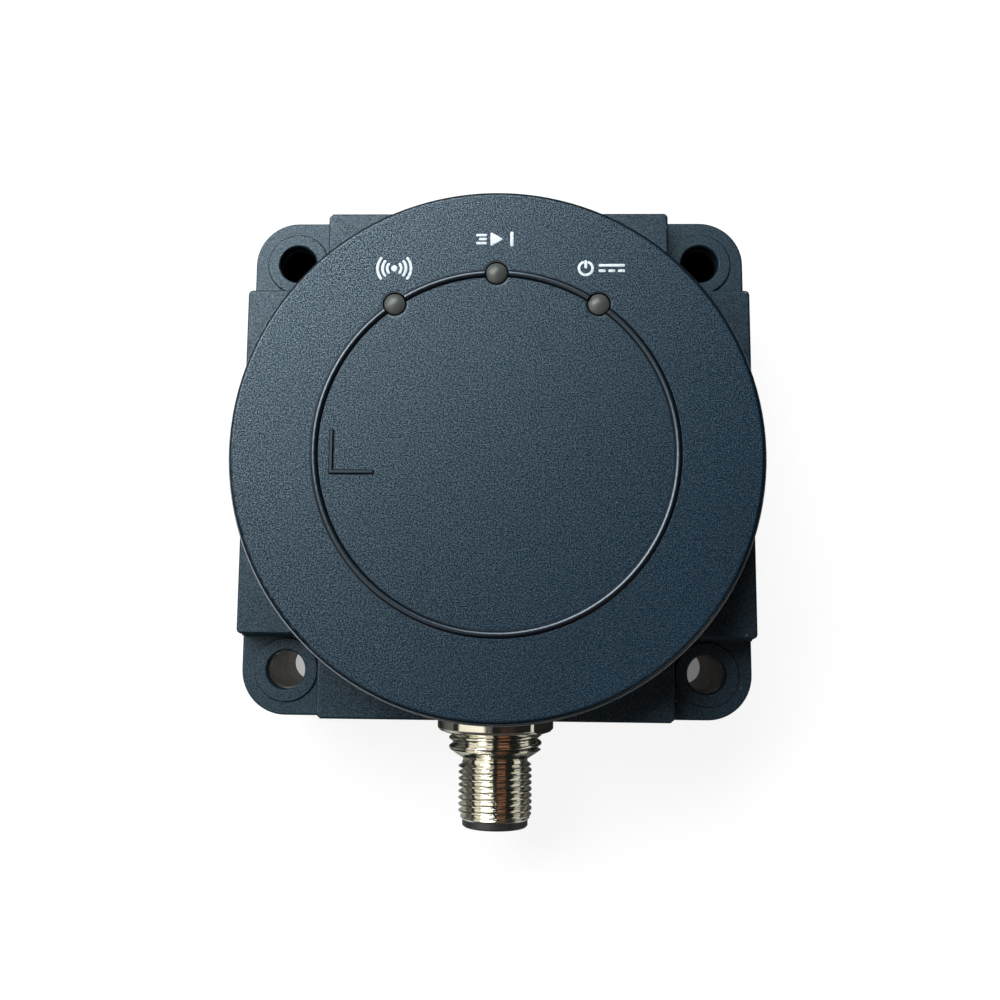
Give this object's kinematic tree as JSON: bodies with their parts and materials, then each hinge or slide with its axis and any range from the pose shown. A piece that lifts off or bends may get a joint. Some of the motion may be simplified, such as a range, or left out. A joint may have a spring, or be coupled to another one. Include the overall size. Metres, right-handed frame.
{
  "type": "lidar scanner module",
  "caption": "Flat square scanner head with a round raised cap, hidden spinning optics behind a dark window ring, corner bolt bushes and a round screw connector.",
  "frame": {"origin": "middle of the flat mounting face, on the scan axis", "axes": "+Z along the scan axis out through the cap; -Y the way the connector points; +X to the right when the cap faces the viewer with the connector at the bottom"},
  "size_m": [0.08, 0.0976, 0.0406],
  "materials": {
    "housing_plastic": "fine spark-eroded grain",
    "cap_plastic": "fine spark-eroded grain",
    "window_plastic": "polished, passes near infrared only",
    "seal_rubber": "matte",
    "stainless_steel": "turned",
    "light_pipe": "smoked, translucent",
    "circuit_board": "solder mask",
    "led_package": "moulded",
    "flat_cable": "polyimide film",
    "nickel_plated_brass": "bright nickel plate",
    "black_insulator": "moulded",
    "gold_contact": "gold flashed",
    "wire_insulation": "satin",
    "machined_aluminium": "machined",
    "bearing_steel": "ground",
    "lamination_steel": "stamped laminations",
    "copper_winding": "enamelled copper",
    "ferrite": "sintered",
    "cage_brass": "pressed",
    "magnet": "nickel plated",
    "black_anodised": "black anodised",
    "lens_glass": "coated"
  },
  "bodies": {
    "housing": {"base_housing": "housing_plastic", "bottom_cover": "housing_plastic", "top_cap": "cap_plastic", "window_ring": "window_plastic", "bottom_gasket": "seal_rubber", "window_seal": "seal_rubber", "cap_seal": "seal_rubber", "connector_gasket": "seal_rubber", "mounting_bushes": "stainless_steel", "bottom_cover_screws": "stainless_steel", "cap_screws": "stainless_steel", "main_board_screws": "stainless_steel", "carrier_screws": "stainless_steel", "led_board_screws": "stainless_steel", "status_light_pipes": "light_pipe", "status_led_board": "circuit_board", "main_board": "circuit_board", "status_leds": "led_package", "data_link_emitter": "led_package", "led_flat_cable": "flat_cable", "connector_shell": "nickel_plated_brass", "connector_nut": "nickel_plated_brass", "connector_insert": "black_insulator", "board_components": "black_insulator", "board_sockets": "black_insulator", "encoder_sensor": "black_insulator", "connector_pins": "gold_contact", "connector_wires": "wire_insulation", "motor_carrier": "machined_aluminium", "bearing_outer_races": "bearing_steel", "motor_stator_core": "lamination_steel", "motor_coils": "copper_winding", "primary_coil": "copper_winding", "primary_ferrite": "ferrite"},
    "bearing_balls_and_cages": {"bearing_balls": "bearing_steel", "bearing_cages": "cage_brass"},
    "rotor": {"bearing_inner_races": "bearing_steel", "rotor_shaft": "bearing_steel", "shaft_clip": "bearing_steel", "preload_washer": "bearing_steel", "rotor_bell": "lamination_steel", "rotor_magnets": "magnet", "turntable": "machined_aluminium", "encoder_ring": "black_insulator", "rotor_board_components": "black_insulator", "data_link_receiver": "black_insulator", "secondary_ferrite": "ferrite", "secondary_coil": "copper_winding", "rotor_board": "circuit_board", "optics_board": "circuit_board", "optics_block": "black_anodised", "rotor_board_screws": "stainless_steel", "turntable_screws": "stainless_steel", "laser_diode": "stainless_steel", "receiver_photodiode": "stainless_steel", "diode_leads": "gold_contact", "laser_lens": "lens_glass", "receiver_lens": "lens_glass", "balance_weight": "cage_brass"}
  },
  "joints": [
    {"name": "rotor_spin", "type": "hinge", "parent": "housing", "child": "rotor", "pos_m": [0, 0, 0.0131], "axis": [0, 0, 1], "continuous": true},
    {"name": "bearing_roll", "type": "hinge", "parent": "housing", "child": "bearing_balls_and_cages", "pos_m": [0, 0, 0.0131], "axis": [0, 0, 1], "continuous": true}
  ],
  "couplings": [
    {"joint": "bearing_roll", "follows": "rotor_spin", "ratio": 0.4}
  ]
}
